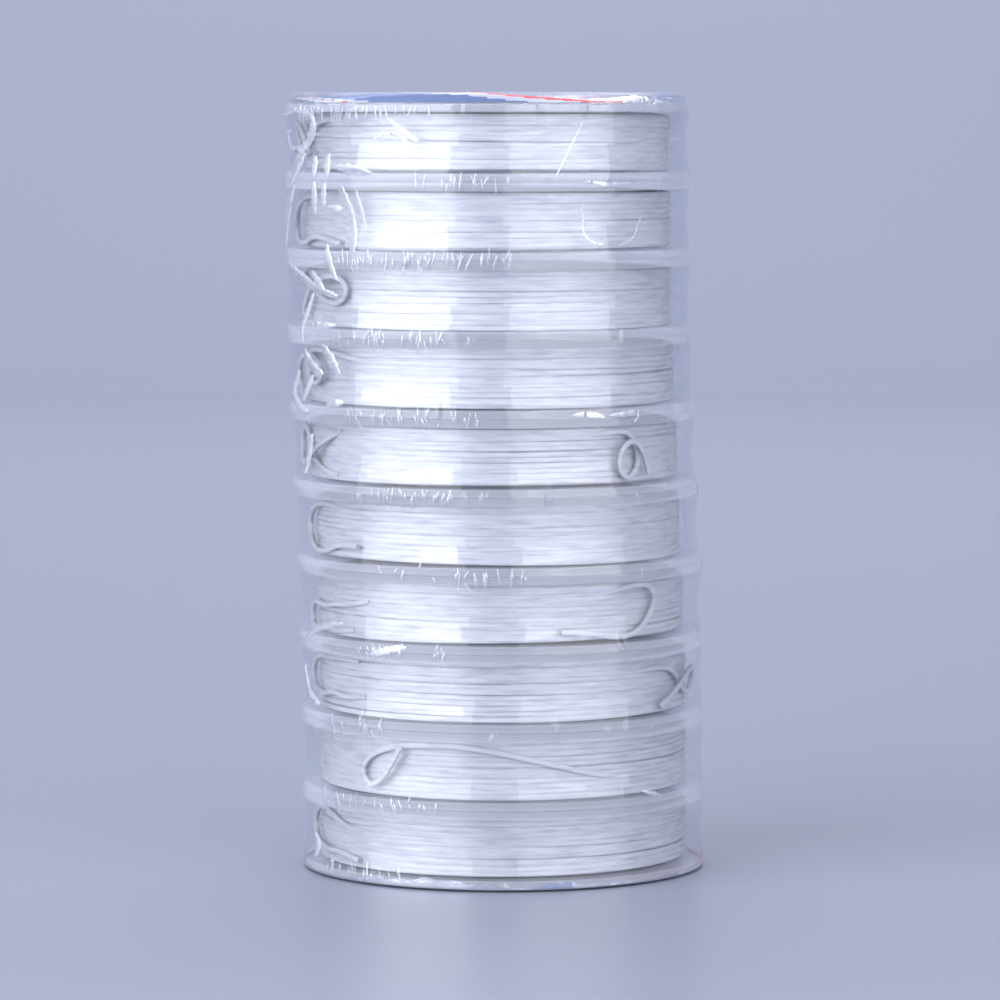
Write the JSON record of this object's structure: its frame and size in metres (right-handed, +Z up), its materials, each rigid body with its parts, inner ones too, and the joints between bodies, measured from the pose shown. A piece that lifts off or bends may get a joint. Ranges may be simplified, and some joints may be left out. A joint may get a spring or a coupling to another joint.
{
  "type": "wrapped fishing line spool stack",
  "caption": "Stack of clear two-part spools wound with clear fishing line, foil labels on both ends, held in a clear shrink film.",
  "frame": {"origin": "middle of the base, where the film's lower lip stands on the table", "axes": "+Z up the stack, -Y towards the front with the loose line ends, +X to the right seen from the front"},
  "size_m": [0.0618, 0.06, 0.1127],
  "materials": {
    "clear_plastic": "clear moulded polystyrene, glossy",
    "line": "clear extruded line, white and silky where it lies in layers",
    "foil": "thin printed foil, crumpled",
    "film": "clear shrink film, glossy and finely wrinkled"
  },
  "bodies": {
    "film": {"film_wrap": "film"},
    "spool_01": {"spool_01_upper_half": "clear_plastic", "spool_01_lower_half": "clear_plastic", "spool_01_winding": "line", "spool_01_tail": "line", "top_label": "foil"},
    "spool_02": {"spool_02_upper_half": "clear_plastic", "spool_02_lower_half": "clear_plastic", "spool_02_winding": "line", "spool_02_tail": "line"},
    "spool_03": {"spool_03_upper_half": "clear_plastic", "spool_03_lower_half": "clear_plastic", "spool_03_winding": "line", "spool_03_tail": "line"},
    "spool_04": {"spool_04_upper_half": "clear_plastic", "spool_04_lower_half": "clear_plastic", "spool_04_winding": "line", "spool_04_tail": "line"},
    "spool_05": {"spool_05_upper_half": "clear_plastic", "spool_05_lower_half": "clear_plastic", "spool_05_winding": "line", "spool_05_tail": "line", "spool_05_slack_loop": "line"},
    "spool_06": {"spool_06_upper_half": "clear_plastic", "spool_06_lower_half": "clear_plastic", "spool_06_winding": "line", "spool_06_tail": "line"},
    "spool_07": {"spool_07_upper_half": "clear_plastic", "spool_07_lower_half": "clear_plastic", "spool_07_winding": "line", "spool_07_tail": "line", "spool_07_slack_loop": "line"},
    "spool_08": {"spool_08_upper_half": "clear_plastic", "spool_08_lower_half": "clear_plastic", "spool_08_winding": "line", "spool_08_tail": "line", "spool_08_slack_loop": "line"},
    "spool_09": {"spool_09_upper_half": "clear_plastic", "spool_09_lower_half": "clear_plastic", "spool_09_winding": "line", "spool_09_tail": "line"},
    "spool_10": {"spool_10_upper_half": "clear_plastic", "spool_10_lower_half": "clear_plastic", "spool_10_winding": "line", "spool_10_tail": "line", "bottom_label": "foil"}
  },
  "joints": [
    {"name": "spool_01_spin", "type": "hinge", "parent": "film", "child": "spool_01", "pos_m": [-0.00117, 0, 0.10675], "axis": [0, 0, 1], "continuous": true},
    {"name": "spool_02_spin", "type": "hinge", "parent": "film", "child": "spool_02", "pos_m": [-0.00113, 0, 0.09555], "axis": [0, 0, 1], "continuous": true},
    {"name": "spool_03_spin", "type": "hinge", "parent": "film", "child": "spool_03", "pos_m": [-0.00102, 0, 0.08435], "axis": [0, 0, 1], "continuous": true},
    {"name": "spool_04_spin", "type": "hinge", "parent": "film", "child": "spool_04", "pos_m": [-0.00076, 0, 0.07315], "axis": [0, 0, 1], "continuous": true},
    {"name": "spool_05_spin", "type": "hinge", "parent": "film", "child": "spool_05", "pos_m": [-0.00029, 0, 0.06195], "axis": [0, 0, 1], "continuous": true},
    {"name": "spool_06_spin", "type": "hinge", "parent": "film", "child": "spool_06", "pos_m": [0.00029, 0, 0.05074], "axis": [0, 0, 1], "continuous": true},
    {"name": "spool_07_spin", "type": "hinge", "parent": "film", "child": "spool_07", "pos_m": [0.00076, 0, 0.03954], "axis": [0, 0, 1], "continuous": true},
    {"name": "spool_08_spin", "type": "hinge", "parent": "film", "child": "spool_08", "pos_m": [0.00102, 0, 0.02834], "axis": [0, 0, 1], "continuous": true},
    {"name": "spool_09_spin", "type": "hinge", "parent": "film", "child": "spool_09", "pos_m": [0.00113, 0, 0.01715], "axis": [0, 0, 1], "continuous": true},
    {"name": "spool_10_spin", "type": "hinge", "parent": "film", "child": "spool_10", "pos_m": [0.00117, 0, 0.00594], "axis": [0, 0, 1], "continuous": true}
  ]
}
